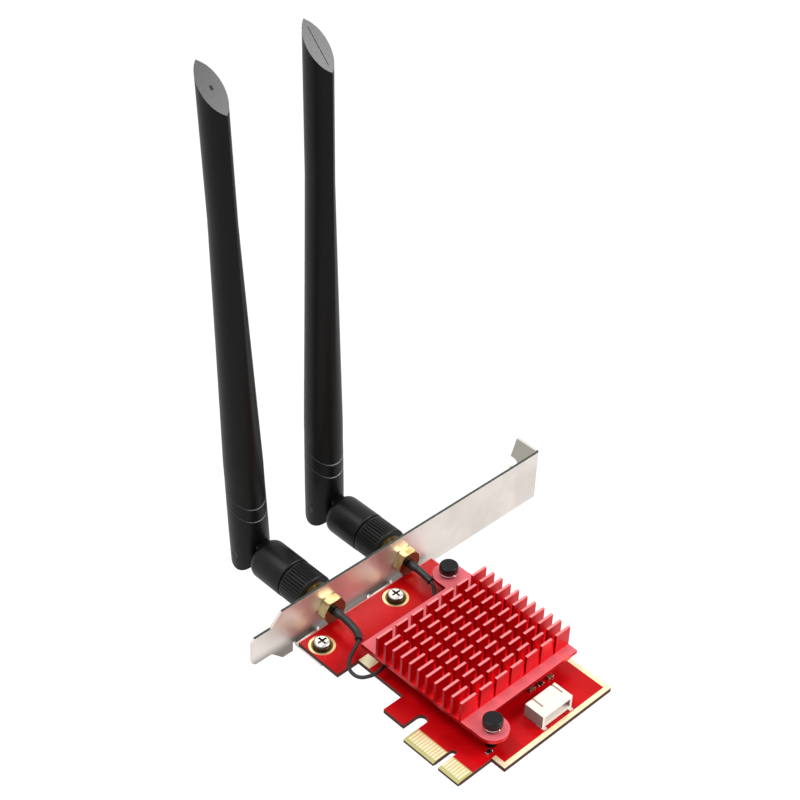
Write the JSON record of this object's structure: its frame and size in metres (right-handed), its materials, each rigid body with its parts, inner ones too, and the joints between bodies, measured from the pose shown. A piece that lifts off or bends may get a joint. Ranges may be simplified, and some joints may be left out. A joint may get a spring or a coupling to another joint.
{
  "type": "pcie wifi card",
  "caption": "Wireless network card with a slot bracket, a pin-fin heatsink and two hinged aerials that swivel.",
  "frame": {"origin": "middle of the key notch at the contact edge, on the board's middle plane", "axes": "+X along the contact edge away from the bracket, +Y from the contact edge towards the bracket's fold, +Z out of the component side"},
  "size_m": [0.1166, 0.12, 0.1724],
  "materials": {
    "solder_mask": "red solder mask over glass laminate",
    "gilding": "gold over nickel on copper",
    "bracket_plate": "nickel-plated sheet steel",
    "screw_steel": "nickel-plated steel",
    "brass": "gilded brass",
    "insulator": "white fluoropolymer",
    "sleeve": "shrunk black sleeve",
    "lead": "thin black coaxial lead",
    "module_laminate": "green solder mask",
    "can": "tinned sheet steel",
    "socket": "black moulded socket",
    "thermal_pad": "soft grey silicone",
    "heatsink": "red anodised",
    "push_pin": "black nylon",
    "spring": "spring wire",
    "header": "cream moulded housing",
    "tinned": "tinned",
    "capacitor": "fired ceramic",
    "resistor": "black film on ceramic",
    "aerial": "black moulded plastic",
    "collar": "ribbed black plastic",
    "pin_plastic": "black acetal",
    "radiator": "copper strip on laminate"
  },
  "bodies": {
    "card": {"circuit_board": "solder_mask", "ground_border": "gilding", "contacts_component_side": "gilding", "contacts_solder_side": "gilding", "screw_pads": "gilding", "bracket": "bracket_plate", "bracket_screws": "screw_steel", "jack_nuts": "screw_steel", "lock_washers": "screw_steel", "module_board": "module_laminate", "module_shield": "can", "module_receptacles": "brass", "coax_plugs": "brass", "module_socket": "socket", "module_standoff": "brass", "module_screw": "screw_steel", "thermal_pad": "thermal_pad", "heatsink": "heatsink", "header_housing": "header", "header_contacts": "tinned", "header_tabs": "tinned", "capacitors": "capacitor", "resistors": "resistor", "solder_caps": "tinned", "jack_body_1": "brass", "jack_insulator_1": "insulator", "jack_pin_1": "brass", "ferrule_1": "brass", "sleeve_1": "sleeve", "coax_lead_1": "lead", "push_pin_spring_1": "spring", "collar_1": "collar", "coupling_nut_1": "brass", "plug_core_1": "brass", "plug_insulator_1": "insulator", "plug_contact_1": "brass", "jack_body_2": "brass", "jack_insulator_2": "insulator", "jack_pin_2": "brass", "ferrule_2": "brass", "sleeve_2": "sleeve", "coax_lead_2": "lead", "push_pin_spring_2": "spring", "collar_2": "collar", "coupling_nut_2": "brass", "plug_core_2": "brass", "plug_insulator_2": "insulator", "plug_contact_2": "brass"},
    "push_pin_1": {"push_pin_1": "push_pin"},
    "swivel_1": {"barrel_1": "aerial"},
    "aerial_1": {"blade_1": "aerial", "knuckle_pin_1": "pin_plastic", "radiator_1": "radiator"},
    "push_pin_2": {"push_pin_2": "push_pin"},
    "swivel_2": {"barrel_2": "aerial"},
    "aerial_2": {"blade_2": "aerial", "knuckle_pin_2": "pin_plastic", "radiator_2": "radiator"}
  },
  "joints": [
    {"name": "swivel_1", "type": "hinge", "parent": "card", "child": "swivel_1", "pos_m": [-0.0812, 0.016, 0.00588], "axis": [1, 0, 0], "range_deg": [-4, 170]},
    {"name": "tilt_1", "type": "hinge", "parent": "swivel_1", "child": "aerial_1", "pos_m": [-0.097, 0.016, 0.00588], "axis": [0, -0.9987, -0.0506], "range_deg": [0, 90]},
    {"name": "swivel_2", "type": "hinge", "parent": "card", "child": "swivel_2", "pos_m": [-0.0812, 0.0464, 0.00588], "axis": [1, 0, 0], "range_deg": [-170, 3]},
    {"name": "tilt_2", "type": "hinge", "parent": "swivel_2", "child": "aerial_2", "pos_m": [-0.097, 0.0464, 0.00588], "axis": [0, -0.9998, -0.0192], "range_deg": [0, 90]},
    {"name": "press_1", "type": "slide", "parent": "card", "child": "push_pin_1", "axis": [0, 0, -1], "range_m": [0, 0.0006], "stiffness_N_per_m": 900, "deforming": ["push_pin_spring_1"]},
    {"name": "press_2", "type": "slide", "parent": "card", "child": "push_pin_2", "axis": [0, 0, -1], "range_m": [0, 0.0006], "stiffness_N_per_m": 900, "deforming": ["push_pin_spring_2"]}
  ]
}
